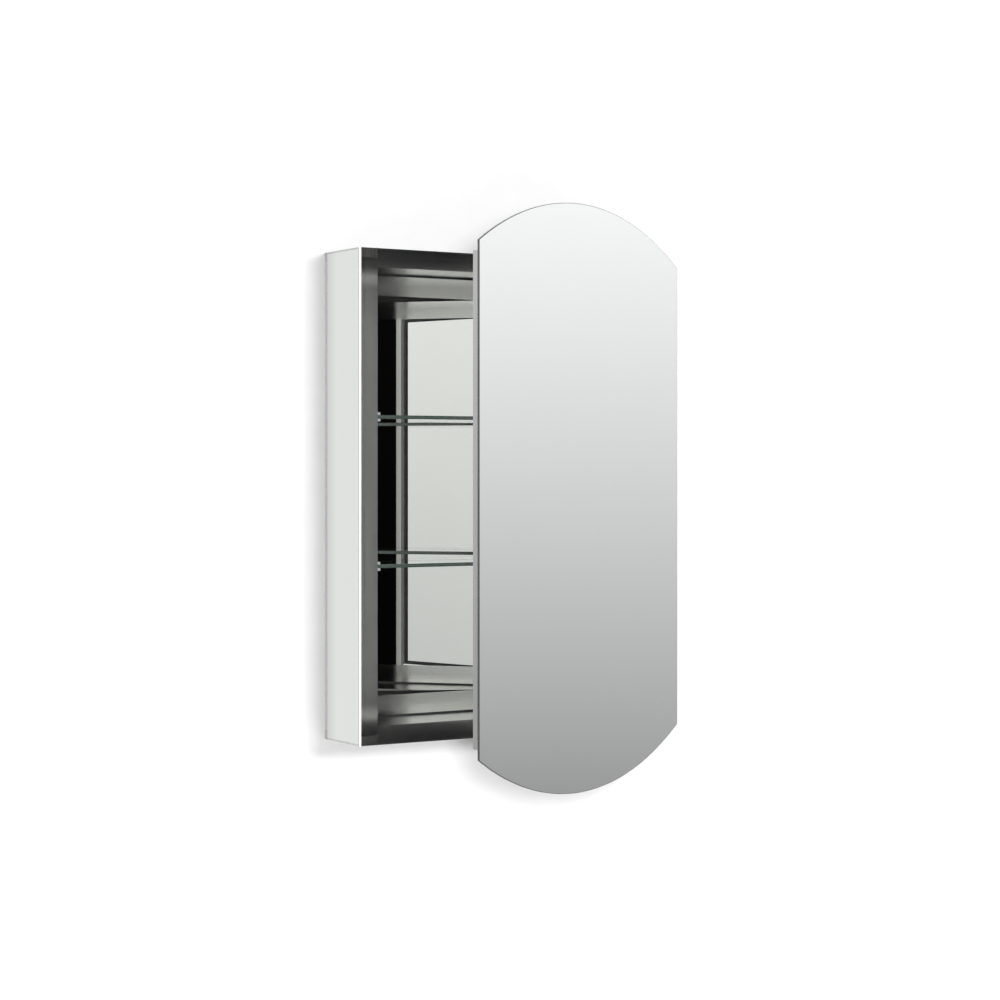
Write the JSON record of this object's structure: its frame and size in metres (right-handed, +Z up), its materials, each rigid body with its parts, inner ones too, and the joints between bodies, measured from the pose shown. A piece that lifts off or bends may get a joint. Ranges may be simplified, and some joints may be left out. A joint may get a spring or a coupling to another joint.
{
  "type": "medicine cabinet with mirror",
  "caption": "Wall-hung aluminium medicine cabinet with an arched mirror door on a full-length side hinge, a mirrored inside and glass shelves on clips.",
  "frame": {"origin": "middle of the case's rear face, where it meets the wall", "axes": "+Y into the wall, the door faces -Y, +Z up"},
  "size_m": [0.5087, 0.3215, 0.7874],
  "materials": {
    "case_aluminium": "satin anodised, brushed along the length",
    "corner_block": "satin anodised",
    "back_sheet": "galvanised grey",
    "liner_mirror": "silvered float glass",
    "side_mirror": "silvered float glass",
    "door_mirror": "silvered float glass, polished edge",
    "seal": "black, matt",
    "screw_steel": "zinc plated",
    "shelf_glass": "clear float glass, polished green edge",
    "clip": "clear moulding",
    "magnet": "dark ferrite",
    "hinge_steel": "satin stainless",
    "hinge_pin": "drawn stainless",
    "bond": "black foam tape",
    "door_aluminium": "satin anodised",
    "corner_key": "as cast",
    "core_board": "fine fibre board",
    "bumper": "clear soft",
    "strike": "plain steel"
  },
  "bodies": {
    "cabinet": {"side_panel_left": "case_aluminium", "side_panel_right": "case_aluminium", "top_panel": "case_aluminium", "bottom_panel": "case_aluminium", "corner_block_top_left": "corner_block", "corner_block_top_right": "corner_block", "corner_block_bottom_left": "corner_block", "corner_block_bottom_right": "corner_block", "back_panel": "back_sheet", "back_rail_top": "case_aluminium", "back_rail_bottom": "case_aluminium", "back_mirror": "liner_mirror", "back_mirror_seal": "seal", "side_mirror_left": "side_mirror", "side_mirror_right": "side_mirror", "case_screws": "screw_steel", "back_screws": "screw_steel", "shelf_upper": "shelf_glass", "shelf_lower": "shelf_glass", "shelf_clips_upper": "clip", "shelf_clips_lower": "clip", "catch_magnet": "magnet", "hinge_case_leaf": "hinge_steel", "hinge_pin": "hinge_pin", "hinge_case_screws": "screw_steel"},
    "door": {"door_mirror": "door_mirror", "door_mirror_bond": "bond", "door_frame_left": "door_aluminium", "door_frame_right": "door_aluminium", "door_frame_top": "door_aluminium", "door_frame_bottom": "door_aluminium", "door_corner_keys": "corner_key", "door_core": "core_board", "door_back_mirror": "liner_mirror", "door_back_gasket": "seal", "door_bumpers": "bumper", "catch_strike": "strike", "hinge_door_leaf": "hinge_steel", "hinge_door_screws": "screw_steel"}
  },
  "joints": [
    {"name": "door_swing", "type": "hinge", "parent": "cabinet", "child": "door", "pos_m": [0.2449, -0.1019, 0], "axis": [0, 0, 1], "range_deg": [-24.3, 83.7]}
  ]
}
